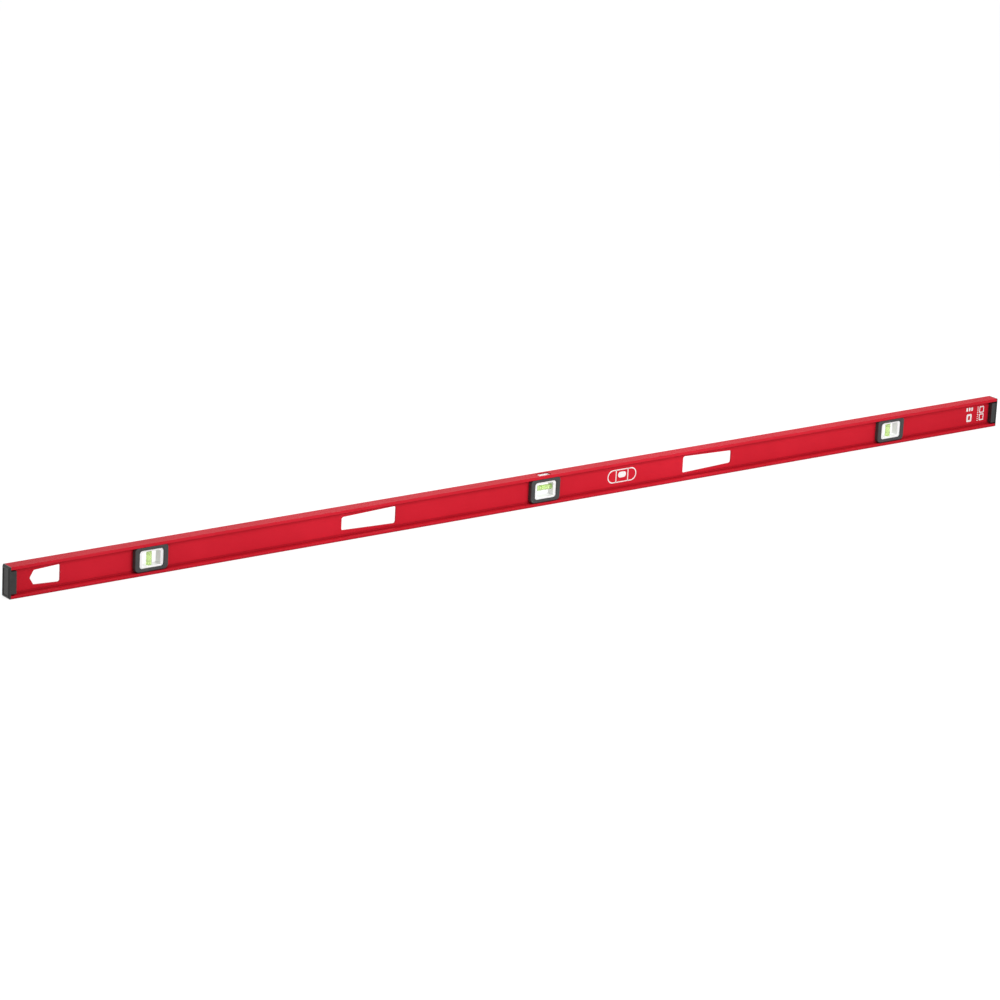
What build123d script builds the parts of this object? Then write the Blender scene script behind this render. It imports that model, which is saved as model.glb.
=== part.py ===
"""Long spirit level: an aluminium I-beam with one level vial in the middle and a plumb vial near each end.

Millimetres. +X runs along the beam, +Y points to the back, +Z is up. The origin is the middle of the
bottom working face. Every vial unit is a white frame in two halves that grips the vial, held in a
window of the web by a front and a rear bezel and two screws.
"""

import os

from build123d import *

os.makedirs("parts", exist_ok=True)

# Whole level
overall_length = 2438.0
beam_height = 61.0
beam_depth = 26.0

# Extruded beam
flange_thickness = 6.0
flange_edge_radius = 0.8
web_thickness = 3.0
root_band_height = 3.0
root_band_proud = 1.0

# End caps
cap_plate_length = 5.0
cap_filler_length = 12.0
cap_edge_bevel = 3.0
cap_fit = 0.15
cap_filler_setback = 0.9
cap_recess_margin = 5.0
cap_recess_radius = 3.0
cap_recess_depth = 1.0

# Hanging hole near the left end, pointed towards that end
hang_hole_from_end = 50.0
hang_hole_length = 64.0
hang_hole_point = 8.5
hang_hole_narrow = 28.0
hang_hole_wide = 34.0
hang_hole_radius = 4.0

# Two hand holes, tall side towards the middle
hand_hole_from_middle = 420.0
hand_hole_length = 127.0
hand_hole_narrow = 26.5
hand_hole_wide = 35.0
hand_hole_radius = 4.5

# Vial units
plumb_from_end = 304.8
bezel_width = 72.0
bezel_gap_to_flange = 0.5
bezel_setback = 2.0
bezel_upper_radius = 7.0
bezel_lower_radius = 9.0
bezel_edge_radius = 2.0
bezel_mouth_chamfer = 0.8
bezel_dimple_diameter = 2.4
bezel_dimple_depth = 0.4
mouth_width = 52.0
mouth_height = 35.0
mouth_radius = 6.0

# White frame halves
frame_fit = 0.3
frame_setback = 2.0
collar_lap = 2.0
collar_fit = 0.3
window_width = 40.0
window_height = 28.0
window_radius = 3.0
rim_slope = 0.8
rim_edge = 1.0

# Vials
vial_diameter = 10.5
vial_fit = 0.15
bore_diameter = 8.0
bore_end_narrowing = 0.1
vial_end_thickness = 2.0
plug_fit = 0.05
plumb_socket_depth = 2.2
level_socket_depth = 3.5
level_vial_rise = 3.0
vial_end_fit = 0.1
gauge_line_spacing = 13.5
gauge_line_width = 0.35
gauge_line_thickness = 0.15
gauge_line_fit = 0.05
fluid_fit = 0.05

# Bubbles and the channel that is left for each in the fluid
level_bubble_length = 12.0
level_bubble_diameter = 4.4
level_bubble_rise = 1.3
plumb_bubble_length = 4.0
plumb_bubble_diameter = 5.6
bubble_flat = 0.1
bubble_fit = 0.3

# Top-read window over the level vial
slot_length = 30.0
slot_depth = 16.0
slot_radius = 3.0
turret_fit = 0.3
turret_below_top = 2.2
turret_wall = 2.2
lens_thickness = 1.5
lens_ledge = 1.0
lens_fit = 0.1

# Bezel screws
screw_inset = 5.0
screw_diameter = 2.8
screw_head_diameter = 4.8
screw_head_thickness = 1.8
screw_head_recess = 2.4
screw_hole_fit = 0.2
screw_pilot_fit = 0.05
screw_tip_fit = 0.1
web_hole_fit = 0.4
screw_end_margin = 3.0
drive_width = 0.8
drive_length = 3.0
drive_depth = 0.8

# Sizes that follow from the ones above
mid_height = beam_height / 2
web_half = web_thickness / 2
beam_length = overall_length - 2 * cap_plate_length
channel_height = beam_height - 2 * flange_thickness
bezel_height = channel_height - 2 * bezel_gap_to_flange
bezel_face = beam_depth / 2 - bezel_setback
frame_face = bezel_face - frame_setback
plumb_position = overall_length / 2 - plumb_from_end
collar_width = mouth_width + 2 * collar_lap
collar_height = mouth_height + 2 * collar_lap
screw_offset = bezel_width / 2 - screw_inset
turret_top = beam_height - turret_below_top
vial_radius = vial_diameter / 2
bore_radius = bore_diameter / 2
bore_end_radius = bore_radius - bore_end_narrowing

vial_units = {
    "left_plumb": -plumb_position,
    "level": 0.0,
    "right_plumb": plumb_position,
}


def save(builder, label):
    """Name a finished piece and write it to its own STEP file."""
    builder.part.label = label
    export_step(builder.part, f"parts/{label}.step")


def side_plane(x, facing):
    """Vertical plane through the web's middle at x, facing the front (-1) or the back (+1)."""
    return Plane(origin=(x, 0, mid_height), x_dir=(-facing, 0, 0), z_dir=(0, facing, 0))


def vial_plane(prefix):
    """Plane whose local Y axis is the vial's axis, pointing to the vial's closed end."""
    if prefix == "level":
        centre = (vial_units[prefix], 0, mid_height + level_vial_rise)
        return Plane(origin=centre, x_dir=(0, 0, 1), z_dir=(0, 1, 0))
    return side_plane(vial_units[prefix], -1)


def vial_length(prefix):
    """Length of a vial from socket to socket across its frame's window."""
    if prefix == "level":
        return window_width + 2 * (level_socket_depth - vial_end_fit)
    return window_height + 2 * (plumb_socket_depth - vial_end_fit)


# Beam: an extruded I-section, then punched and milled
with BuildPart() as beam:
    with BuildSketch(Plane.YZ.offset(-beam_length / 2)):
        with Locations((0, mid_height)):
            Rectangle(web_thickness, beam_height)
        for flange_z in (flange_thickness / 2, beam_height - flange_thickness / 2):
            with Locations((0, flange_z)):
                Rectangle(beam_depth, flange_thickness)
        root_width = web_thickness + 2 * root_band_proud
        root_reach = flange_thickness + root_band_height
        Rectangle(root_width, root_reach, align=(Align.CENTER, Align.MIN))
        with Locations((0, beam_height)):
            Rectangle(root_width, root_reach, align=(Align.CENTER, Align.MAX))
    extrude(amount=beam_length)
    fillet(
        beam.edges().filter_by(Axis.X).filter_by(lambda edge: abs(edge.center().Y) > beam_depth / 2 - 0.01),
        radius=flange_edge_radius,
    )

    # Hanging hole and hand holes
    hole_left = -overall_length / 2 + hang_hole_from_end
    hole_shoulder = hole_left + hang_hole_point
    hole_right = hole_left + hang_hole_length
    hole_plane = side_plane(0, -1)
    with BuildSketch(hole_plane) as hang_hole:
        with BuildLine():
            Polyline(
                (hole_left, 0),
                (hole_shoulder, hang_hole_narrow / 2),
                (hole_right, hang_hole_wide / 2),
                (hole_right, -hang_hole_wide / 2),
                (hole_shoulder, -hang_hole_narrow / 2),
                close=True,
            )
        make_face()
        fillet(hang_hole.vertices(), radius=hang_hole_radius)
    extrude(amount=web_thickness, both=True, mode=Mode.SUBTRACT)
    for side in (-1, 1):
        inner_x = side * (hand_hole_from_middle - hand_hole_length / 2)
        outer_x = side * (hand_hole_from_middle + hand_hole_length / 2)
        with BuildSketch(hole_plane) as hand_hole:
            with BuildLine():
                Polyline(
                    (inner_x, hand_hole_wide / 2),
                    (outer_x, hand_hole_narrow / 2),
                    (outer_x, -hand_hole_narrow / 2),
                    (inner_x, -hand_hole_wide / 2),
                    close=True,
                )
            make_face()
            fillet(hand_hole.vertices(), radius=hand_hole_radius)
        extrude(amount=web_thickness, both=True, mode=Mode.SUBTRACT)

    # Windows and screw holes for the vial units
    for unit_x in vial_units.values():
        with BuildSketch(side_plane(unit_x, -1)):
            RectangleRounded(collar_width + 2 * collar_fit, collar_height + 2 * collar_fit, mouth_radius)
            with Locations((-screw_offset, 0), (screw_offset, 0)):
                Circle(screw_diameter / 2 + web_hole_fit)
        extrude(amount=web_thickness, both=True, mode=Mode.SUBTRACT)

    # Top-read slot, cut down into the middle window
    with BuildSketch(Plane.XY.offset(mid_height)):
        RectangleRounded(slot_length, slot_depth, slot_radius)
    extrude(amount=beam_height, mode=Mode.SUBTRACT)
save(beam, "beam")


# End caps: a bevelled plate over the beam's end, with a filler pushed into each side channel
def make_end_cap(label, side):
    plate_plane = Plane(origin=(side * beam_length / 2, 0, mid_height), x_dir=(0, side, 0), z_dir=(side, 0, 0))
    filler_bottom = flange_thickness + root_band_height + cap_fit
    filler_top = beam_height - flange_thickness - root_band_height - cap_fit
    filler_inner = web_half + cap_fit
    filler_outer = beam_depth / 2 - cap_filler_setback
    with BuildPart() as cap:
        with BuildSketch(plate_plane):
            Rectangle(beam_depth, beam_height)
        extrude(amount=cap_plate_length)
        end_face = cap.faces().sort_by(Axis.X)[-1 if side > 0 else 0]
        chamfer(end_face.outer_wire().edges(), length=cap_edge_bevel)
        fillet(cap.edges().filter_by(Axis.X), radius=flange_edge_radius)
        with BuildSketch(plate_plane.offset(cap_plate_length - cap_recess_depth)):
            recess_width = beam_depth - 2 * cap_recess_margin
            recess_height = beam_height - 2 * cap_recess_margin
            RectangleRounded(recess_width, recess_height, cap_recess_radius)
        extrude(amount=cap_recess_depth, mode=Mode.SUBTRACT)
        with BuildSketch(plate_plane):
            for y in (-1, 1):
                with Locations((y * (filler_inner + filler_outer) / 2, 0)):
                    Rectangle(filler_outer - filler_inner, filler_top - filler_bottom)
        extrude(amount=-cap_filler_length)
    save(cap, label)


make_end_cap("left_end_cap", -1)
make_end_cap("right_end_cap", 1)


# Bezels: moulded rings that clamp the frame's collar in the web's window
def make_bezel(label, prefix, facing):
    unit_x = vial_units[prefix]
    plane = side_plane(unit_x, facing)
    plate_back = web_half + root_band_proud + cap_fit
    pad_height = channel_height - 2 * (root_band_height + cap_fit)
    with BuildPart() as bezel:
        with BuildSketch(plane.offset(plate_back)) as outline:
            Rectangle(bezel_width, bezel_height)
            fillet(outline.vertices().group_by(Axis.Y)[-1], radius=bezel_upper_radius)
            fillet(outline.vertices().group_by(Axis.Y)[0], radius=bezel_lower_radius)
        extrude(amount=bezel_face - plate_back)
        face = bezel.faces().sort_by(Axis.Y)[-1 if facing > 0 else 0]
        fillet(face.outer_wire().edges(), radius=bezel_edge_radius)
        with BuildSketch(plane.offset(web_half)):
            RectangleRounded(bezel_width, pad_height, bezel_lower_radius)
        extrude(amount=plate_back - web_half)
        with BuildSketch(plane):
            RectangleRounded(mouth_width, mouth_height, mouth_radius)
        extrude(amount=bezel_face, mode=Mode.SUBTRACT)
        face = bezel.faces().sort_by(Axis.Y)[-1 if facing > 0 else 0]
        chamfer(face.inner_wires().edges(), length=bezel_mouth_chamfer)
        if prefix == "level":
            with BuildSketch(Plane.XY.offset(mid_height)):
                with Locations((unit_x, 0)):
                    RectangleRounded(slot_length, slot_depth, slot_radius)
            extrude(amount=beam_height, mode=Mode.SUBTRACT)
        screw_places = Locations((-screw_offset, 0), (screw_offset, 0))
        if facing > 0:
            with BuildSketch(plane):
                with screw_places:
                    Circle(screw_diameter / 2 + screw_hole_fit)
            extrude(amount=bezel_face, mode=Mode.SUBTRACT)
            with BuildSketch(plane.offset(bezel_face - screw_head_recess)):
                with screw_places:
                    Circle(screw_head_diameter / 2 + screw_hole_fit)
            extrude(amount=screw_head_recess, mode=Mode.SUBTRACT)
        else:
            with BuildSketch(plane):
                with screw_places:
                    Circle(screw_diameter / 2 + screw_pilot_fit)
            extrude(amount=bezel_face - screw_end_margin + screw_tip_fit, mode=Mode.SUBTRACT)
            with BuildSketch(plane.offset(bezel_face - bezel_dimple_depth)):
                with screw_places:
                    Circle(bezel_dimple_diameter / 2)
            extrude(amount=bezel_dimple_depth, mode=Mode.SUBTRACT)
    save(bezel, label)


# Frame halves: white mouldings that meet on the web's middle plane and grip the vial's ends
def make_frame_half(label, prefix, facing):
    unit_x = vial_units[prefix]
    plane = side_plane(unit_x, facing)
    body_width = mouth_width - 2 * frame_fit
    body_height = mouth_height - 2 * frame_fit
    body_radius = mouth_radius - frame_fit
    with BuildPart() as half:
        with BuildSketch(plane):
            RectangleRounded(body_width, body_height, body_radius)
        extrude(amount=frame_face)
        with BuildSketch(plane):
            RectangleRounded(collar_width, collar_height, mouth_radius)
        extrude(amount=web_half)
        if prefix == "level":
            turret_length = slot_length - 2 * turret_fit
            turret_depth = slot_depth / 2 - turret_fit
            turret_base = mid_height + body_height / 2 - (body_height - window_height) / 4
            with BuildSketch(Plane.XY.offset(turret_base)):
                with Locations((unit_x, facing * turret_depth / 2)):
                    Rectangle(turret_length, turret_depth)
            extrude(amount=turret_top - turret_base)
            outer_corners = half.edges().filter_by(Axis.Z).filter_by(
                lambda edge: edge.center().Z > turret_base and abs(edge.center().Y) > turret_depth - 0.01
            )
            fillet(outer_corners, radius=slot_radius - turret_fit)
        with BuildSketch(plane):
            RectangleRounded(window_width, window_height, window_radius)
        extrude(amount=frame_face, mode=Mode.SUBTRACT)
        with BuildSketch(plane.offset(frame_face - rim_slope)):
            RectangleRounded(window_width, window_height, window_radius)
        with BuildSketch(plane.offset(frame_face)):
            RectangleRounded(body_width - 2 * rim_edge, body_height - 2 * rim_edge, body_radius - rim_edge)
        loft(mode=Mode.SUBTRACT)
        if prefix == "level":
            well_length = turret_length - 2 * turret_wall
            well_depth = turret_depth - turret_wall
            with BuildSketch(Plane.XY.offset(mid_height)):
                with Locations((unit_x, facing * (well_depth - lens_ledge) / 2)):
                    Rectangle(well_length - 2 * lens_ledge, well_depth - lens_ledge)
            extrude(amount=beam_height, mode=Mode.SUBTRACT)
            with BuildSketch(Plane.XY.offset(turret_top - lens_thickness)):
                with Locations((unit_x, facing * well_depth / 2)):
                    Rectangle(well_length, well_depth)
            extrude(amount=beam_height, mode=Mode.SUBTRACT)
        bed = vial_plane(prefix)
        bed_length = vial_length(prefix) + 2 * vial_end_fit
        with BuildSketch(Plane(origin=bed.origin, z_dir=bed.y_dir)):
            Circle(vial_radius + vial_fit)
        extrude(amount=bed_length / 2, both=True, mode=Mode.SUBTRACT)
    save(half, label)


# Vials: a barrel-bored acrylic body, its end plug, two gauge lines, the fluid and the bubble
def make_vial(prefix):
    plane = vial_plane(prefix)
    axis = Axis(plane.origin, plane.y_dir)
    half_length = vial_length(prefix) / 2
    bore_half = half_length - vial_end_thickness
    with BuildPart() as body:
        with BuildSketch(plane):
            with BuildLine():
                bore_foot = (bore_end_radius, -bore_half)
                bore_head = (bore_end_radius, bore_half)
                bore_wall = ThreePointArc(bore_foot, (bore_radius, 0), bore_head)
                Polyline(
                    bore_head,
                    (0, bore_half),
                    (0, half_length),
                    (vial_radius, half_length),
                    (vial_radius, -half_length),
                    (bore_end_radius, -half_length),
                    bore_foot,
                )
            make_face()
        revolve(axis=axis)
    save(body, f"{prefix}_vial_body")

    with BuildPart() as plug:
        with BuildSketch(Plane(origin=plane.origin - plane.y_dir * half_length, z_dir=plane.y_dir)):
            Circle(bore_end_radius - plug_fit)
        extrude(amount=vial_end_thickness)
    save(plug, f"{prefix}_vial_plug")

    with BuildPart() as lines:
        for side in (-1, 1):
            line_centre = plane.origin + plane.y_dir * (side * gauge_line_spacing / 2)
            with BuildSketch(Plane(origin=line_centre, z_dir=plane.y_dir)):
                Circle(vial_radius + gauge_line_fit + gauge_line_thickness)
                Circle(vial_radius + gauge_line_fit, mode=Mode.SUBTRACT)
            extrude(amount=gauge_line_width / 2, both=True)
    save(lines, f"{prefix}_gauge_lines")

    if prefix == "level":
        bubble_length = level_bubble_length
        bubble_diameter = level_bubble_diameter
        rise = level_bubble_rise
        along = 0
    else:
        bubble_length = plumb_bubble_length
        bubble_diameter = plumb_bubble_diameter
        rise = 0
        along = bore_half - bubble_fit - bubble_length / 2
    channel_radius = bubble_diameter / 2 + bubble_fit
    with BuildPart() as fluid:
        with BuildSketch(Plane(origin=plane.origin, x_dir=plane.x_dir, z_dir=plane.y_dir)):
            Circle(bore_end_radius - fluid_fit)
            with Locations((rise, 0)):
                Circle(channel_radius, mode=Mode.SUBTRACT)
                if prefix == "level":
                    channel_mouth = (Align.MIN, Align.CENTER)
                    Rectangle(bore_radius, 2 * channel_radius, align=channel_mouth, mode=Mode.SUBTRACT)
        extrude(amount=bore_half - fluid_fit, both=True)
    save(fluid, f"{prefix}_vial_fluid")

    bubble_centre = plane.origin + plane.x_dir * rise + plane.y_dir * along
    bubble_plane = Plane(origin=bubble_centre, x_dir=plane.x_dir, z_dir=plane.z_dir)
    with BuildPart() as bubble:
        with BuildSketch(bubble_plane):
            RectangleRounded(bubble_diameter, bubble_length, min(bubble_diameter, bubble_length) / 2 - bubble_flat)
            Rectangle(bubble_diameter, bubble_length, align=(Align.MAX, Align.CENTER), mode=Mode.SUBTRACT)
        revolve(axis=Axis(bubble_centre, plane.y_dir))
    save(bubble, f"{prefix}_bubble")


# Screws: two for each unit, driven from the rear bezel into blind bosses of the front one
def make_screws(label, prefix):
    head_seat = bezel_face - screw_head_recess
    plane = side_plane(vial_units[prefix], 1)
    screw_places = Locations((-screw_offset, 0), (screw_offset, 0))
    with BuildPart() as screws:
        with BuildSketch(plane.offset(head_seat)):
            with screw_places:
                Circle(screw_head_diameter / 2)
        extrude(amount=screw_head_thickness)
        with BuildSketch(plane.offset(head_seat)):
            with screw_places:
                Circle(screw_diameter / 2)
        extrude(amount=screw_end_margin - bezel_face - head_seat)
        with BuildSketch(plane.offset(head_seat + screw_head_thickness - drive_depth)):
            with screw_places:
                Rectangle(drive_length, drive_width)
                Rectangle(drive_width, drive_length)
        extrude(amount=drive_depth, mode=Mode.SUBTRACT)
    save(screws, label)


for prefix in vial_units:
    make_bezel(f"{prefix}_front_bezel", prefix, -1)
    make_bezel(f"{prefix}_rear_bezel", prefix, 1)
    make_frame_half(f"{prefix}_front_frame", prefix, -1)
    make_frame_half(f"{prefix}_rear_frame", prefix, 1)
    make_vial(prefix)
    make_screws(f"{prefix}_bezel_screws", prefix)

# Clear lens that closes the top of the read-out well
with BuildPart() as lens:
    well_length = slot_length - 2 * turret_fit - 2 * turret_wall
    well_width = slot_depth - 2 * turret_fit - 2 * turret_wall
    with BuildSketch(Plane.XY.offset(turret_top - lens_thickness)):
        Rectangle(well_length - 2 * lens_fit, well_width - 2 * lens_fit)
    extrude(amount=lens_thickness)
save(lens, "top_read_lens")
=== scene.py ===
"""The finish of a long I-beam spirit level, and the studio that it lies in. All sizes are in metres."""

import math

import bpy
import numpy as np
from mathutils import Matrix, Vector


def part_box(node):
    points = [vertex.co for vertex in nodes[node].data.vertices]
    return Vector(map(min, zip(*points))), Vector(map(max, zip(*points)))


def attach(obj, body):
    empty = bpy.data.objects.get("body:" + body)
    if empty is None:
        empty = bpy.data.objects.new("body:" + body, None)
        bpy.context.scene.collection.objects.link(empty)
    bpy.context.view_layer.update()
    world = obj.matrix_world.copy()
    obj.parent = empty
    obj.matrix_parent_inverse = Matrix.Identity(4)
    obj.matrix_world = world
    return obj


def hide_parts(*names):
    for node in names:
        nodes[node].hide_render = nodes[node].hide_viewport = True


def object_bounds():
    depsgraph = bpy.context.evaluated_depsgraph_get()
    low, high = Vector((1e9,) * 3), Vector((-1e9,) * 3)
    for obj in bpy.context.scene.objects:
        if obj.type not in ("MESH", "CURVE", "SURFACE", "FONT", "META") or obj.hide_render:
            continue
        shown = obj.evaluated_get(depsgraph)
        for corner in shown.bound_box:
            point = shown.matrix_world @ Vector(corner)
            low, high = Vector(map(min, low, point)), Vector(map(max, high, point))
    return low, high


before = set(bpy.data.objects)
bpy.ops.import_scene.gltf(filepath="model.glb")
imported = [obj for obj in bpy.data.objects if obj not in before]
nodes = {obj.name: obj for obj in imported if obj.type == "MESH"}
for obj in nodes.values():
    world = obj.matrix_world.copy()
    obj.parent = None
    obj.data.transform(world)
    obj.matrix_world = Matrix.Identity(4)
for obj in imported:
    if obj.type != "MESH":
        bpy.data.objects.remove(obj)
cad_low, cad_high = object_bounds()


# ---------------------------------------------------------------------------
# The beam. One aluminium extrusion of I section, about 2.4 m long, punched for the hanging hole, the
# hand holes, the vial windows and the slot, and then powder coated red. The coat lies in a fine orange
# peel. Shade is painted into the inner corners, and painted shade darkens the edges, which are also a
# little glossier.

beam_red = (0.620, 0.0150, 0.0320, 1)
beam_red_deep = (0.550, 0.0115, 0.0250, 1)
# Painted shade: a dark red for the inner corners, and another for the edges.
corner_shade_red = (0.210, 0.0030, 0.0090, 1)
edge_shade_red = (0.260, 0.0120, 0.0190, 1)
peel_size = 0.0011
peel_height = 0.00008
coat_drift_size = 0.22
coat_specular = 0.06
corner_shade_reach = 0.008
corner_shade_strength = 0.90
edge_wear_and_shade_width = 0.0010
edge_wear_and_shade_patch = 0.03
edge_shade_strength = 0.70
handled_polish = 0.12
die_line_scale = 900
die_line_stretch = 0.004
die_line_share = 0.5


def new_finish(name):
    """A material, its node tree and its Principled shader."""
    finish = bpy.data.materials.new(name)
    finish.use_nodes = True
    return finish, finish.node_tree, finish.node_tree.nodes["Principled BSDF"]


def arithmetic(tree, operation, first, second, clamp=False):
    """One Math node. Each operand is a socket or a number."""
    node = tree.nodes.new("ShaderNodeMath")
    node.operation = operation
    node.use_clamp = clamp
    for socket, value in zip(node.inputs, (first, second)):
        if isinstance(value, (int, float)):
            socket.default_value = value
        else:
            tree.links.new(value, socket)
    return node.outputs[0]


def blend_colours(tree, mask, low, high):
    """A colour that goes from low to high with the mask. Either colour is a socket or a value."""
    node = tree.nodes.new("ShaderNodeMix")
    node.data_type = "RGBA"
    tree.links.new(mask, node.inputs["Factor"])
    for socket, value in ((node.inputs[6], low), (node.inputs[7], high)):
        if isinstance(value, tuple):
            socket.default_value = value
        else:
            tree.links.new(value, socket)
    return node.outputs[2]


def ramp(tree, value, low_in, high_in, low_out, high_out):
    """A straight ramp: low_in gives low_out and high_in gives high_out, and it stays level past both."""
    node = tree.nodes.new("ShaderNodeMapRange")
    tree.links.new(value, node.inputs["Value"])
    ends = {"From Min": low_in, "From Max": high_in, "To Min": low_out, "To Max": high_out}
    for name, number in ends.items():
        node.inputs[name].default_value = number
    return node.outputs["Result"]


def spread(tree, noise, low, high):
    """A noise stretched to run from low to high. Most of a noise lies between 0.3 and 0.7."""
    return ramp(tree, noise, 0.3, 0.7, low, high)


def build_group(name, sizes, masks):
    """An empty shader node group that takes a Point and some sizes, and puts out some masks."""
    group = bpy.data.node_groups.new(name, "ShaderNodeTree")
    group.interface.new_socket(name="Point", in_out="INPUT", socket_type="NodeSocketVector")
    for label, size in sizes.items():
        socket = group.interface.new_socket(name=label, in_out="INPUT", socket_type="NodeSocketFloat")
        socket.default_value = size
    for label in masks:
        group.interface.new_socket(name=label, in_out="OUTPUT", socket_type="NodeSocketFloat")
    return group, group.nodes.new("NodeGroupInput"), group.nodes.new("NodeGroupOutput")


def build_grain():
    """Two noises over the surface. Grain is the fine texture of a moulded or sprayed skin, and Drift
    is a slow change that keeps a wide face from looking even."""
    sizes = {"Grain Size": 0.001, "Drift Size": 0.1}
    group, given, result = build_group("surface_grain", sizes, ("Grain", "Drift"))
    for label, detail in (("Grain", 3.0), ("Drift", 4.0)):
        noise = group.nodes.new("ShaderNodeTexNoise")
        noise.inputs["Detail"].default_value = detail
        noise.inputs["Roughness"].default_value = 0.55
        scale = arithmetic(group, "DIVIDE", 1.0, given.outputs[f"{label} Size"])
        group.links.new(given.outputs["Point"], noise.inputs["Vector"])
        group.links.new(scale, noise.inputs["Scale"])
        group.links.new(noise.outputs["Fac"], result.inputs[label])
    return group


def build_edge_wear_and_light():
    """A mask along corners: the angle between the face and its rounded-off normal, broken up by noise, so
    that it comes and goes along the corner. On the screws it marks rubbed wear; on the beam it carries
    painted shade, and on the bezels and end caps painted highlights."""
    sizes = {"Width": 0.0005, "Patch Size": 0.02}
    group, given, result = build_group("edge_wear_and_light", sizes, ("Mask",))
    rounded = group.nodes.new("ShaderNodeBevel")
    rounded.samples = 6
    group.links.new(given.outputs["Width"], rounded.inputs["Radius"])
    face = group.nodes.new("ShaderNodeNewGeometry")
    turned = group.nodes.new("ShaderNodeVectorMath")
    turned.operation = "DOT_PRODUCT"
    group.links.new(rounded.outputs["Normal"], turned.inputs[0])
    group.links.new(face.outputs["Normal"], turned.inputs[1])
    # The two normals part round a corner, where their cosine falls from 0.995 to 0.80.
    corner = ramp(group, turned.outputs["Value"], 0.995, 0.80, 0, 1)
    patches = group.nodes.new("ShaderNodeTexNoise")
    patches.inputs["Detail"].default_value = 5.0
    scale = arithmetic(group, "DIVIDE", 1.0, given.outputs["Patch Size"])
    group.links.new(given.outputs["Point"], patches.inputs["Vector"])
    group.links.new(scale, patches.inputs["Scale"])
    broken = ramp(group, patches.outputs["Fac"], 0.38, 0.66, 0.15, 1)
    mask = arithmetic(group, "MULTIPLY", corner, broken, clamp=True)
    group.links.new(mask, result.inputs["Mask"])
    return group


def object_point(tree):
    """A point on the piece, in the frame's own coordinates, because every piece stands at the origin."""
    return tree.nodes.new("ShaderNodeTexCoord").outputs["Object"]


def place_group(tree, group, **sizes):
    """The group as a node in this tree, with its sizes. In a size's name, _ stands for a space."""
    node = tree.nodes.new("ShaderNodeGroup")
    node.node_tree = group
    tree.links.new(object_point(tree), node.inputs["Point"])
    for label, size in sizes.items():
        node.inputs[label.replace("_", " ")].default_value = size
    return node


def grained_finish(name, grain_size, drift_size):
    """A new finish with the surface grain in it, ready to wire."""
    finish, tree, shader = new_finish(name)
    grain = place_group(tree, surface_grain, Grain_Size=grain_size, Drift_Size=drift_size)
    return finish, tree, shader, grain


def raise_surface(tree, shader, height, distance):
    """Bump on the shader's normal: height 1 stands this distance above height 0."""
    bump = tree.nodes.new("ShaderNodeBump")
    bump.inputs["Distance"].default_value = distance
    tree.links.new(height, bump.inputs["Height"])
    tree.links.new(bump.outputs["Normal"], shader.inputs["Normal"])


def paint(node_name, finish):
    """Gives a carried-over piece its finish, in every slot that it has."""
    for slot in nodes[node_name].material_slots:
        slot.material = finish


surface_grain = build_grain()
edge_wear_and_light = build_edge_wear_and_light()

red_coat, tree, shader, grain = grained_finish("red_powder_coat", peel_size, coat_drift_size)
wear_and_light = place_group(tree, edge_wear_and_light, Width=edge_wear_and_shade_width, Patch_Size=edge_wear_and_shade_patch)

# The die leaves faint lines along the extrusion, which the coat softens.
drawn = tree.nodes.new("ShaderNodeMapping")
drawn.inputs["Scale"].default_value = (die_line_stretch, 1, 1)
tree.links.new(object_point(tree), drawn.inputs["Vector"])
die_lines = tree.nodes.new("ShaderNodeTexNoise")
die_lines.inputs["Scale"].default_value = die_line_scale
die_lines.inputs["Detail"].default_value = 2
tree.links.new(drawn.outputs["Vector"], die_lines.inputs["Vector"])

# The coat drifts between two reds at random. Painted shade darkens it in the corners of web and flange, by
# an occlusion mask, and along the edges.
corner = tree.nodes.new("ShaderNodeAmbientOcclusion")
corner.samples = 8
corner.inputs["Distance"].default_value = corner_shade_reach
drift = ramp(tree, grain.outputs["Drift"], 0.35, 0.65, 0, 1)
shaded = ramp(tree, corner.outputs["AO"], 0.80, 0.36, 0, corner_shade_strength)
# Painted shade along the edges: the edge mask darkens the red there.
edge_shading = arithmetic(tree, "MULTIPLY", wear_and_light.outputs["Mask"], edge_shade_strength)
coat = blend_colours(tree, drift, beam_red_deep, beam_red)
coat = blend_colours(tree, shaded, coat, corner_shade_red)
coat = blend_colours(tree, edge_shading, coat, edge_shade_red)
tree.links.new(coat, shader.inputs["Base Color"])

roughness = spread(tree, grain.outputs["Grain"], 0.44, 0.54)
polish = arithmetic(tree, "MULTIPLY", wear_and_light.outputs["Mask"], handled_polish)
tree.links.new(arithmetic(tree, "SUBTRACT", roughness, polish), shader.inputs["Roughness"])
shader.inputs["Specular IOR Level"].default_value = coat_specular
lines = arithmetic(tree, "MULTIPLY", die_lines.outputs["Fac"], die_line_share)
raise_surface(tree, shader, arithmetic(tree, "ADD", grain.outputs["Grain"], lines), peel_height)
paint("beam", red_coat)


# ---------------------------------------------------------------------------
# The printed marks. Generic white ink, screen printed on the front of the web: a vial pictogram to
# the right of the middle unit, and plain dashes, ticks and blocks by the right end cap.

ink_white = (0.86, 0.86, 0.85, 1)
ink_thin = (0.75, 0.35, 0.36, 1)
ink_relief = 0.00002
ink_thickness = 0.00012
ink_sink = 0.00002
outline_steps = 48
film_centre = 0.02

web_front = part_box("level_front_bezel")[1].y
middle_height = (cad_low.z + cad_high.z) / 2
vial_mark_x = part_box("level_front_bezel")[1].x + 0.163
small_mark_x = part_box("right_end_cap")[0].x - 0.055
tall_mark_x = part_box("right_end_cap")[0].x - 0.023
tick_x = tall_mark_x - 0.0075
block_x = tall_mark_x + 0.0035

rim_band = 0.0020
line_offset = 0.0150
bubble_rise = 0.002
dash_pitch = 0.0070
dash_rise = 0.0125
low_block_band = 0.0042
low_block_drop = 0.0065
block_band = 0.0021
block_pitch = 0.0165
tick_pitch = 0.0042


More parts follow.
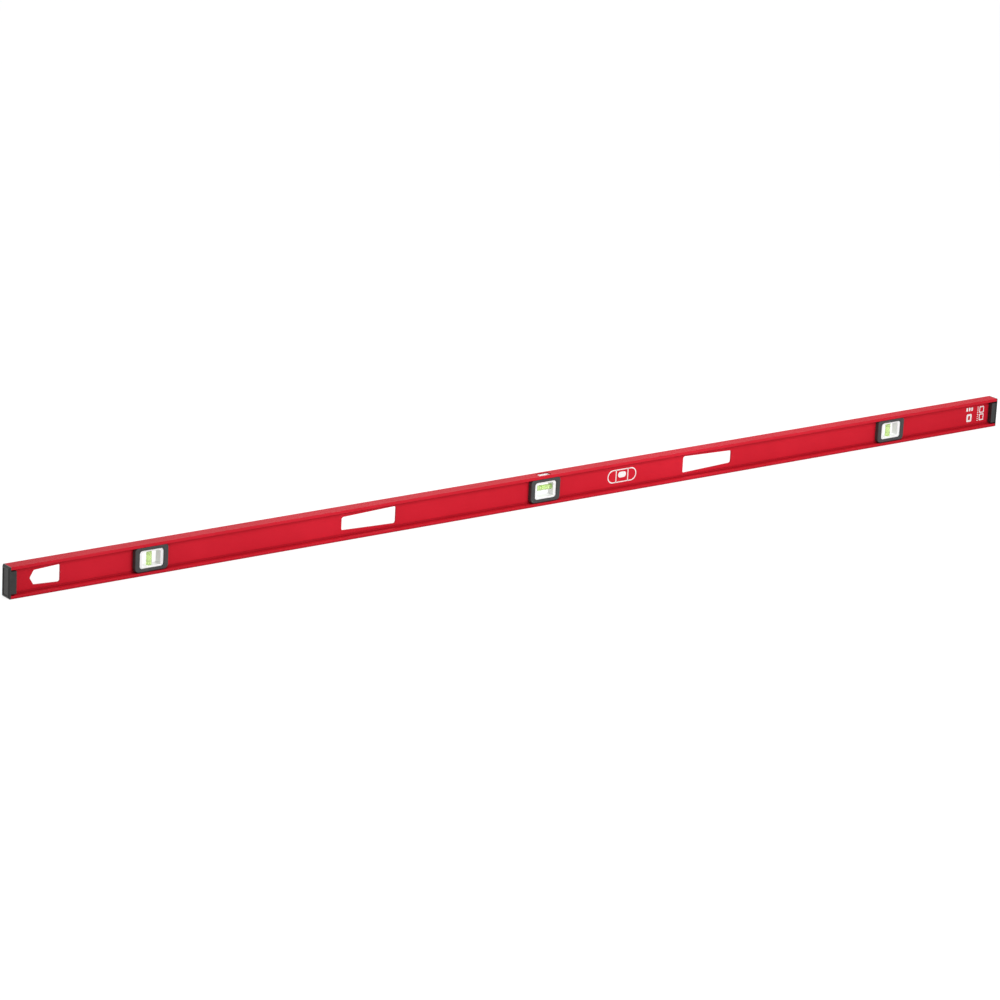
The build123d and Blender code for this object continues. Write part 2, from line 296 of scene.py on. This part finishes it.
def rounded_outline(width, height, radius):
    """Points round a rounded rectangle: a circle's arc about whichever corner the angle faces, so the
    straight sides are the jumps from one corner's arc to the next."""
    angle = (np.arange(outline_steps) + 0.5) * 2 * math.pi / outline_steps
    across, up = np.cos(angle), np.sin(angle)
    x = np.sign(across) * (width / 2 - radius) + across * radius
    z = np.sign(up) * (height / 2 - radius) + up * radius
    return np.stack([x, z], axis=1)


def closed_surface(name, grid, poles=None):
    """A mesh from a grid of points, rows by columns, whose columns close on themselves. With no poles
    the rows close too, as on a ring. With poles, each end row closes on its pole."""
    rows, columns = grid.shape[:2]
    strips = rows if poles is None else rows - 1
    row, column = np.meshgrid(np.arange(strips), np.arange(columns), indexing="ij")
    row_after, column_after = (row + 1) % rows, (column + 1) % columns
    corners = (
        row * columns + column,
        row * columns + column_after,
        row_after * columns + column_after,
        row_after * columns + column,
    )
    faces = np.stack([corner.ravel() for corner in corners], axis=1).tolist()
    points = grid.reshape(-1, 3)
    if poles is not None:
        here = np.arange(columns)
        after = (here + 1) % columns
        last = (rows - 1) * columns
        first_pole = np.full(columns, rows * columns)
        points = np.concatenate([points, np.asarray(poles, float)])
        faces += np.stack([first_pole, after, here], axis=1).tolist()
        faces += np.stack([first_pole + 1, last + here, last + after], axis=1).tolist()
    mesh = bpy.data.meshes.new(name)
    mesh.from_pydata(points.tolist(), [], faces)
    mesh.update()
    piece = bpy.data.objects.new(name, mesh)
    bpy.context.scene.collection.objects.link(piece)
    return piece


def print_shape(name, outline, centre, band=None):
    """Ink on the web's front. The film's four corners, inner back, outer back, outer front and inner
    front, are carried round the outline. With a band's width it is a ring: the inner corners run along
    the outline pulled in by the band on each side. With none they are the outline shrunk nearly to its
    centre, where the film closes on two poles."""
    centre_x, centre_z = centre
    front, back = web_front - ink_thickness, web_front + ink_sink
    half = np.abs(outline).max(axis=0)
    inner = outline * (1 - band / half) if band else outline * film_centre
    flat = np.stack([inner, outline, outline, inner])
    depth = np.broadcast_to(np.array([back, back, front, front])[:, None], flat.shape[:2])
    grid = np.stack([centre_x + flat[..., 0], depth, centre_z + flat[..., 1]], axis=2)
    poles = None if band else [(centre_x, back, centre_z), (centre_x, front, centre_z)]
    return closed_surface(name, grid, poles)


white_ink, tree, shader, grain = grained_finish("white_ink", grain_size=0.0005, drift_size=0.01)
# The screen's mesh leaves the film a little thin in spots, where the red shows through as pink.
thin_spots = ramp(tree, grain.outputs["Grain"], 0.66, 0.80, 0, 0.35)
tree.links.new(blend_colours(tree, thin_spots, ink_white, ink_thin), shader.inputs["Base Color"])
tree.links.new(spread(tree, grain.outputs["Drift"], 0.45, 0.6), shader.inputs["Roughness"])
raise_surface(tree, shader, grain.outputs["Grain"], ink_relief)

# The pictogram: a vial's rim with a bubble between two lines.
rim_outline = rounded_outline(width=0.073, height=0.0275, radius=0.0135)
bubble_outline = rounded_outline(width=0.020, height=0.012, radius=0.0058)
line_outline = rounded_outline(width=0.0020, height=0.0265, radius=0.0009)
marks = [
    print_shape("vial_mark_rim", rim_outline, (vial_mark_x, middle_height), rim_band),
    print_shape("vial_mark_bubble", bubble_outline, (vial_mark_x, middle_height + bubble_rise)),
]
for side, name in ((-1, "left"), (1, "right")):
    line_x = vial_mark_x + side * line_offset
    marks.append(print_shape(f"vial_mark_line_{name}", line_outline, (line_x, middle_height)))

# By the end cap: three dashes over a block, and a column of ticks beside two blocks.
dash_outline = rounded_outline(width=0.0046, height=0.0075, radius=0.0010)
low_block_outline = rounded_outline(width=0.0145, height=0.0170, radius=0.0025)
tick_outline = rounded_outline(width=0.0034, height=0.0018, radius=0.0006)
block_outline = rounded_outline(width=0.0130, height=0.0145, radius=0.0020)
low_block_centre = (small_mark_x, middle_height - low_block_drop)
marks.append(print_shape("block_mark_low", low_block_outline, low_block_centre, low_block_band))
for count in range(3):
    dash_centre = (small_mark_x + (count - 1) * dash_pitch, middle_height + dash_rise)
    marks.append(print_shape(f"dash_mark_{count + 1}", dash_outline, dash_centre))
for count in range(2):
    block_centre = (block_x, middle_height + (count - 0.5) * block_pitch)
    marks.append(print_shape(f"block_mark_{count + 1}", block_outline, block_centre, block_band))
for count in range(8):
    tick_centre = (tick_x, middle_height + (count - 3.5) * tick_pitch)
    marks.append(print_shape(f"tick_mark_{count + 1}", tick_outline, tick_centre))

for piece in marks:
    piece.data.materials.append(white_ink)
    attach(piece, "level_beam")


# ---------------------------------------------------------------------------
# The vials, one in the middle along the beam and a plumb one near each end. Each is a clear acrylic
# body with a barrel-shaped bore, ringed by two gauge lines, filled with a yellow-green dyed spirit
# given a faint painted glow for its fluorescent dye, and closed by a glued plug.

units = ("left_plumb", "level", "right_plumb")
acrylic_clear = (0.990, 1.0, 0.985, 1)
acrylic_tinged = (0.980, 0.995, 0.970, 1)
acrylic_shadow = (0.97, 0.99, 0.96, 1)
plug_green = (0.62, 0.75, 0.42, 1)
plug_pale = (0.75, 0.82, 0.60, 1)
spirit_green = (0.610, 0.790, 0.315, 1)
spirit_pale = (0.660, 0.820, 0.360, 1)
spirit_painted_glow = (0.45, 0.78, 0.12, 1)
spirit_shadow = (0.93, 0.96, 0.89, 1)
bubble_green = (0.80, 0.95, 0.58, 1)
bubble_pale = (0.88, 0.98, 0.70, 1)
bubble_shadow = (0.85, 0.97, 0.70, 1)
gauge_black = (0.010, 0.014, 0.010, 1)
gauge_worn = (0.030, 0.036, 0.026, 1)

acrylic_ior = 1.49
spirit_ior = 1.36
air_ior = 1.05
plug_clearance = 0.00006
bore_swell = 0.0001
spirit_end_gap = 0.00002
spirit_stations = 25
turn_steps = 64
bubble_rings = 25
bubble_steps = 48
level_bubble_half_width = 0.0030
level_bubble_half_height = 0.0021
level_bubble_lift = 0.0004
level_bubble_gap = 0.0002
plumb_bubble_gap = 0.0003


def let_lamps_through(tree, shader, tint):
    """Lamps light what is behind clear plastic: a shadow ray meets a tinted Transparent shader."""
    clear = tree.nodes.new("ShaderNodeBsdfTransparent")
    clear.inputs["Color"].default_value = tint
    ray = tree.nodes.new("ShaderNodeLightPath")
    mix = tree.nodes.new("ShaderNodeMixShader")
    tree.links.new(ray.outputs["Is Shadow Ray"], mix.inputs[0])
    tree.links.new(shader.outputs[0], mix.inputs[1])
    tree.links.new(clear.outputs[0], mix.inputs[2])
    tree.links.new(mix.outputs[0], tree.nodes["Material Output"].inputs["Surface"])


clear_acrylic, tree, shader, grain = grained_finish("clear_acrylic", grain_size=0.002, drift_size=0.01)
tinge = blend_colours(tree, grain.outputs["Drift"], acrylic_tinged, acrylic_clear)
tree.links.new(tinge, shader.inputs["Base Color"])
tree.links.new(spread(tree, grain.outputs["Grain"], 0.01, 0.05), shader.inputs["Roughness"])
shader.inputs["Transmission Weight"].default_value = 1.0
shader.inputs["IOR"].default_value = acrylic_ior
let_lamps_through(tree, shader, acrylic_shadow)

plug_acrylic, tree, shader, grain = grained_finish("vial_plug_acrylic", grain_size=0.0008, drift_size=0.006)
tinge = blend_colours(tree, grain.outputs["Drift"], plug_green, plug_pale)
tree.links.new(tinge, shader.inputs["Base Color"])
tree.links.new(spread(tree, grain.outputs["Grain"], 0.3, 0.45), shader.inputs["Roughness"])
shader.inputs["Transmission Weight"].default_value = 0.3

dyed_spirit, tree, shader, grain = grained_finish("dyed_spirit", grain_size=0.004, drift_size=0.015)
tinge = blend_colours(tree, grain.outputs["Drift"], spirit_green, spirit_pale)
tree.links.new(tinge, shader.inputs["Base Color"])
shader.inputs["Roughness"].default_value = 0.12
shader.inputs["Transmission Weight"].default_value = 0.80
shader.inputs["IOR"].default_value = spirit_ior
# Painted glow: a faint emission lights the spirit, though it is no lamp.
shader.inputs["Emission Color"].default_value = spirit_painted_glow
shader.inputs["Emission Strength"].default_value = 0.05
let_lamps_through(tree, shader, spirit_shadow)

bubble_air, tree, shader, grain = grained_finish("bubble_air", grain_size=0.002, drift_size=0.006)
tinge = blend_colours(tree, grain.outputs["Drift"], bubble_green, bubble_pale)
tree.links.new(tinge, shader.inputs["Base Color"])
shader.inputs["Roughness"].default_value = 0.08
shader.inputs["Transmission Weight"].default_value = 0.6
shader.inputs["IOR"].default_value = air_ior
let_lamps_through(tree, shader, bubble_shadow)

gauge_ink, tree, shader, grain = grained_finish("gauge_ink", grain_size=0.0003, drift_size=0.002)
wear = blend_colours(tree, grain.outputs["Drift"], gauge_black, gauge_worn)
tree.links.new(wear, shader.inputs["Base Color"])
tree.links.new(spread(tree, grain.outputs["Grain"], 0.35, 0.5), shader.inputs["Roughness"])


def turned_piece(name, stations, radii, centre, along_x):
    """A solid of revolution: each radius is carried round the axis at its station, and the two ends
    close on the axis. The axis runs along X or else along Z through the centre."""
    angle = np.arange(turn_steps) * 2 * math.pi / turn_steps
    across = np.outer(radii, np.cos(angle))
    around = np.outer(radii, np.sin(angle))
    along = np.repeat(stations[:, None], turn_steps, axis=1)
    order = (along, across, around) if along_x else (across, around, along)
    grid = np.stack(order, axis=2) + np.array(centre)
    axis = np.array((1.0, 0, 0) if along_x else (0, 0, 1.0))
    poles = [np.array(centre) + axis * stations[0], np.array(centre) + axis * stations[-1]]
    return closed_surface(name, grid, poles)


def spirit_shape(name, centre, half_length, end_radius, along_x):
    """The spirit, which wets the whole of its bore, a barrel: with t from -1 at one end to 1 at the
    other, the radius is the end's radius and the swell times 1 less t squared."""
    share = np.linspace(-1, 1, spirit_stations)
    radii = end_radius + bore_swell * (1 - share ** 2)
    return turned_piece(name, share * (half_length - spirit_end_gap), radii, centre, along_x)


def level_bubble_shape(name, low, high, vial_centre, bore_radius):
    """A long ellipsoid, full towards its ends because the sine of the angle along it is raised to 0.7.
    Points that would pass the bore's wall are pulled in to it along their radius from the vial's axis."""
    centre = (low + high) / 2
    half = (high.x - low.x) / 2
    rise = np.linspace(0, math.pi, bubble_rings + 2)[1:-1]
    turn = np.arange(bubble_steps) * 2 * math.pi / bubble_steps
    fullness = (np.sin(rise) ** 0.7)[:, None]
    x = -half * np.cos(rise)[:, None] * np.ones(bubble_steps)
    y = fullness * level_bubble_half_width * np.cos(turn)
    z = fullness * level_bubble_half_height * np.sin(turn)
    z = z + centre.z - vial_centre.z + level_bubble_lift
    pull = np.minimum(1, (bore_radius - level_bubble_gap) / np.sqrt(y ** 2 + z ** 2))
    grid = np.stack([centre.x + x, vial_centre.y + y * pull, vial_centre.z + z * pull], axis=2)
    tip_z = centre.z + level_bubble_lift
    poles = [(centre.x - half, vial_centre.y, tip_z), (centre.x + half, vial_centre.y, tip_z)]
    return closed_surface(name, grid, poles)


def plumb_bubble_shape(name, low, high, bore_radius):
    """A short pocket that nearly fills the bore. Its radius is the sine of the angle up it, raised to
    0.6 below the middle, for a domed meniscus, and to 0.25 above it, for a nearly flat top."""
    centre = (low + high) / 2
    rise = np.linspace(0, math.pi, bubble_rings + 2)[1:-1]
    stations = -(high.z - low.z) / 2 * np.cos(rise)
    fullness = np.where(stations > 0, np.sin(rise) ** 0.25, np.sin(rise) ** 0.6)
    return turned_piece(name, stations, (bore_radius - plumb_bubble_gap) * fullness, centre, False)


for unit in units:
    along_x = unit == "level"
    way = 0 if along_x else 2
    body_low, body_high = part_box(f"{unit}_vial_body")
    plug_low, plug_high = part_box(f"{unit}_vial_plug")
    bubble_low, bubble_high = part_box(f"{unit}_bubble")
    vial_centre = (body_low + body_high) / 2
    bore_half = vial_centre[way] - plug_high[way]
    bore_radius = (plug_high.y - plug_low.y) / 2 + plug_clearance

    spirit = spirit_shape(f"{unit}_spirit", vial_centre, bore_half, bore_radius, along_x)
    spirit.data.materials.append(dyed_spirit)
    spirit.data.shade_smooth()
    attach(spirit, "level_beam")
    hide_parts(f"{unit}_vial_fluid")

    name = f"{unit}_bubble_air"
    if along_x:
        bubble = level_bubble_shape(name, bubble_low, bubble_high, vial_centre, bore_radius)
    else:
        bubble = plumb_bubble_shape(name, bubble_low, bubble_high, bore_radius)
    bubble.data.materials.append(bubble_air)
    bubble.data.shade_smooth()
    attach(bubble, f"{unit}_bubble")
    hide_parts(f"{unit}_bubble")

    paint(f"{unit}_vial_body", clear_acrylic)
    paint(f"{unit}_vial_plug", plug_acrylic)
    paint(f"{unit}_gauge_lines", gauge_ink)


# ---------------------------------------------------------------------------
# The white frames. Glossy white ABS, two mirrored halves a unit that close round the vial's ends. The
# rim round the window falls gently towards it, and light reaches the vial by the window's white walls.

frame_white = (0.900, 0.898, 0.900, 1)
frame_shade = (0.865, 0.862, 0.866, 1)
frame_relief = 0.00001
glow_depth = 0.004

white_abs, tree, shader, grain = grained_finish("white_abs", grain_size=0.0009, drift_size=0.02)
shade = spread(tree, grain.outputs["Drift"], 0, 0.6)
tree.links.new(blend_colours(tree, shade, frame_white, frame_shade), shader.inputs["Base Color"])
tree.links.new(spread(tree, grain.outputs["Grain"], 0.26, 0.34), shader.inputs["Roughness"])
shader.inputs["Subsurface Weight"].default_value = 0.15
shader.inputs["Subsurface Radius"].default_value = (glow_depth, glow_depth, glow_depth)
shader.inputs["Subsurface Scale"].default_value = 0.5
raise_surface(tree, shader, grain.outputs["Grain"], frame_relief)
for unit in units:
    paint(f"{unit}_front_frame", white_abs)
    paint(f"{unit}_rear_frame", white_abs)


# ---------------------------------------------------------------------------
# Six rings of glass-filled nylon, moulded charcoal with a fine sparked grain. Each pair
# clamps a white frame in the web, and a lighter grey is painted along its rounded edges as a highlight.

bezel_grey = (0.031, 0.031, 0.032, 1)
bezel_tone_and_highlight = (0.115, 0.110, 0.111, 1)
bezel_specular = 0.38
bezel_relief = 0.00011

bezel_nylon, tree, shader, grain = grained_finish("charcoal_nylon", grain_size=0.0005, drift_size=0.015)
wear_and_light = place_group(tree, edge_wear_and_light, Width=0.0006, Patch_Size=0.01)
skin = blend_colours(tree, spread(tree, grain.outputs["Drift"], 0, 0.2), bezel_grey, bezel_tone_and_highlight)
# Painted highlight: the rounded edges are lightened, standing in for the light they catch.
edge_shading = arithmetic(tree, "MULTIPLY", wear_and_light.outputs["Mask"], 0.7)
tree.links.new(blend_colours(tree, edge_shading, skin, bezel_tone_and_highlight), shader.inputs["Base Color"])
tree.links.new(spread(tree, grain.outputs["Grain"], 0.42, 0.58), shader.inputs["Roughness"])
shader.inputs["Specular IOR Level"].default_value = bezel_specular
raise_surface(tree, shader, grain.outputs["Grain"], bezel_relief)
for unit in units:
    paint(f"{unit}_front_bezel", bezel_nylon)
    paint(f"{unit}_rear_bezel", bezel_nylon)


# ---------------------------------------------------------------------------
# The bezel screws. Two small cross-drive screws a unit, turned from steel and chemically blackened,
# driven from the back into blind bosses of the front bezel.

black_oxide = (0.030, 0.030, 0.033, 1)
bare_steel = (0.32, 0.31, 0.30, 1)
screw_relief = 0.00002

screw_steel, tree, shader, grain = grained_finish("blackened_steel", grain_size=0.0004, drift_size=0.003)
wear_and_light = place_group(tree, edge_wear_and_light, Width=0.0003, Patch_Size=0.002)
skin = blend_colours(tree, wear_and_light.outputs["Mask"], black_oxide, bare_steel)
tree.links.new(skin, shader.inputs["Base Color"])
tree.links.new(spread(tree, grain.outputs["Drift"], 0.32, 0.5), shader.inputs["Roughness"])
shader.inputs["Metallic"].default_value = 1.0
raise_surface(tree, shader, grain.outputs["Grain"], screw_relief)
for unit in units:
    paint(f"{unit}_bezel_screws", screw_steel)


# ---------------------------------------------------------------------------
# The top-read lens. A small flat window of acrylic, pressed into the white turret in the slot and
# whitened as a painted reflection of the white surround. The level vial is read through it from above.

lens_painted_white = (0.93, 0.94, 0.93, 1)
lens_pale = (0.97, 0.97, 0.97, 1)
lens_shadow = (0.90, 0.91, 0.90, 1)

milky_acrylic, tree, shader, grain = grained_finish("milky_acrylic", grain_size=0.0012, drift_size=0.008)
# Painted reflection: the lens is made milky white, standing in for the white surround that it reflects.
tinge = blend_colours(tree, grain.outputs["Drift"], lens_painted_white, lens_pale)
tree.links.new(tinge, shader.inputs["Base Color"])
tree.links.new(spread(tree, grain.outputs["Grain"], 0.06, 0.14), shader.inputs["Roughness"])
shader.inputs["Transmission Weight"].default_value = 0.55
shader.inputs["IOR"].default_value = acrylic_ior
let_lamps_through(tree, shader, lens_shadow)
paint("top_read_lens", milky_acrylic)


# ---------------------------------------------------------------------------
# The end caps. Charcoal elastomer, moulded in one shot with a bevelled plate over the beam's end and
# two fillers pushed into the side channels. The mould is spark eroded, so the skin has a fine grain.

cap_grey = (0.0135, 0.0135, 0.0132, 1)
cap_tone_and_highlight = (0.100, 0.100, 0.098, 1)
cap_specular = 0.36
cap_relief = 0.00009

cap_rubber, tree, shader, grain = grained_finish("charcoal_elastomer", grain_size=0.0006, drift_size=0.012)
wear_and_light = place_group(tree, edge_wear_and_light, Width=0.0009, Patch_Size=0.008)
skin = blend_colours(tree, spread(tree, grain.outputs["Drift"], 0, 0.12), cap_grey, cap_tone_and_highlight)
# Painted highlight: the bevelled edges are lightened, standing in for the light they catch.
skin = blend_colours(tree, wear_and_light.outputs["Mask"], skin, cap_tone_and_highlight)
tree.links.new(skin, shader.inputs["Base Color"])
tree.links.new(spread(tree, grain.outputs["Drift"], 0.28, 0.42), shader.inputs["Roughness"])
shader.inputs["Specular IOR Level"].default_value = cap_specular
raise_surface(tree, shader, grain.outputs["Grain"], cap_relief)
for side in ("left", "right"):
    paint(f"{side}_end_cap", cap_rubber)


# ---------------------------------------------------------------------------
# The studio. A pale floor takes the level's shadow, in an even pale surround. A large soft lamp is in
# front and above, a weaker one behind on the right, and a faint fill far out on the left. The camera
# stands 8 m off with a long lens.

floor_reach = 60.0
floor_gap = 0.0002
paper_lighting = (0.78, 0.78, 0.78, 1)
paper_shown = (0.24, 0.24, 0.24, 1)
paper_glow = 0.87
white = (1, 1, 1, 1)
surround_strength = 0.56
view_yaw = math.radians(37.77)
view_pitch = math.radians(17.09)
view_roll = math.radians(2.96)
view_distance = 8.070
view_target = Vector((-0.1045, 0, 0.0226))
view_lens = 148.5


def show_to_camera(tree, lighting, shown, output):
    """Two shaders for one surface. The first one lights the object, and the second one is what a ray
    sees that comes straight from the camera, or by gloss or glass."""
    ray = tree.nodes.new("ShaderNodeLightPath")
    gloss = arithmetic(tree, "MAXIMUM", ray.outputs["Is Camera Ray"], ray.outputs["Is Glossy Ray"])
    seen = arithmetic(tree, "MAXIMUM", gloss, ray.outputs["Is Transmission Ray"])
    mix = tree.nodes.new("ShaderNodeMixShader")
    tree.links.new(seen, mix.inputs[0])
    tree.links.new(lighting.outputs[0], mix.inputs[1])
    tree.links.new(shown.outputs[0], mix.inputs[2])
    tree.links.new(mix.outputs[0], tree.nodes[output].inputs["Surface"])


floor_mesh = bpy.data.meshes.new("floor")
floor_corners = [(x * floor_reach, y * floor_reach, 0) for x, y in ((-1, -1), (1, -1), (1, 1), (-1, 1))]
floor_mesh.from_pydata(floor_corners, [], [(0, 1, 2, 3)])
floor = bpy.data.objects.new("floor", floor_mesh)
floor.location.z = cad_low.z - floor_gap
bpy.context.scene.collection.objects.link(floor)

floor_paper, tree, shader = new_finish("floor_paper")
shader.inputs["Base Color"].default_value = paper_lighting
shader.inputs["Roughness"].default_value = 0.9
shader.inputs["Specular IOR Level"].default_value = 0.0
paper = tree.nodes.new("ShaderNodeBsdfDiffuse")
paper.inputs["Color"].default_value = paper_shown
glow = tree.nodes.new("ShaderNodeEmission")
glow.inputs["Strength"].default_value = paper_glow
shown = tree.nodes.new("ShaderNodeAddShader")
tree.links.new(paper.outputs[0], shown.inputs[0])
tree.links.new(glow.outputs[0], shown.inputs[1])
show_to_camera(tree, shader, shown, "Material Output")
floor.data.materials.append(floor_paper)

world = bpy.data.worlds.new("studio")
world.use_nodes = True
bpy.context.scene.world = world
surround = world.node_tree.nodes["Background"]
surround.inputs["Color"].default_value = white
surround.inputs["Strength"].default_value = surround_strength
backdrop = world.node_tree.nodes.new("ShaderNodeBackground")
backdrop.inputs["Color"].default_value = white
show_to_camera(world.node_tree, surround, backdrop, "World Output")


def soft_lamp(name, place, aim, width, height, power):
    """A rectangular softbox at a place, turned to face its aim."""
    light = bpy.data.lights.new(name, "AREA")
    light.shape = "RECTANGLE"
    light.size = width
    light.size_y = height
    light.energy = power
    lamp = bpy.data.objects.new(name, light)
    lamp.location = place
    lamp.rotation_euler = (Vector(aim) - Vector(place)).to_track_quat("-Z", "Y").to_euler()
    bpy.context.scene.collection.objects.link(lamp)


soft_lamp("front_softbox", (0.22, -2.2, 1.45), (0.05, 0, 0.03), width=1.6, height=1.2, power=41)
soft_lamp("back_softbox", (0.9, 1.6, 1.9), (0.3, 0, 0.03), width=1.6, height=1.0, power=22)
soft_lamp("left_fill", (-3.4, -2.4, 1.2), (-0.9, 0, 0.03), width=1.4, height=1.4, power=7)

# The camera looks along its yaw, then down by its pitch, and leans by its roll.
ahead = Vector((math.sin(view_yaw), math.cos(view_yaw), 0))
forward = ahead * math.cos(view_pitch) - Vector((0, 0, math.sin(view_pitch)))
level_right = Vector((math.cos(view_yaw), -math.sin(view_yaw), 0))
level_up = level_right.cross(forward)
right = math.cos(view_roll) * level_right + math.sin(view_roll) * level_up
up = -math.sin(view_roll) * level_right + math.cos(view_roll) * level_up
turn = Matrix((right, up, -forward)).transposed().to_4x4()
lens = bpy.data.cameras.new("camera")
lens.lens = view_lens
lens.sensor_width = 36
camera = bpy.data.objects.new("camera", lens)
camera.matrix_world = Matrix.Translation(view_target - forward * view_distance) @ turn
bpy.context.scene.collection.objects.link(camera)
bpy.context.scene.camera = camera
bpy.context.scene.view_settings.view_transform = "Standard"
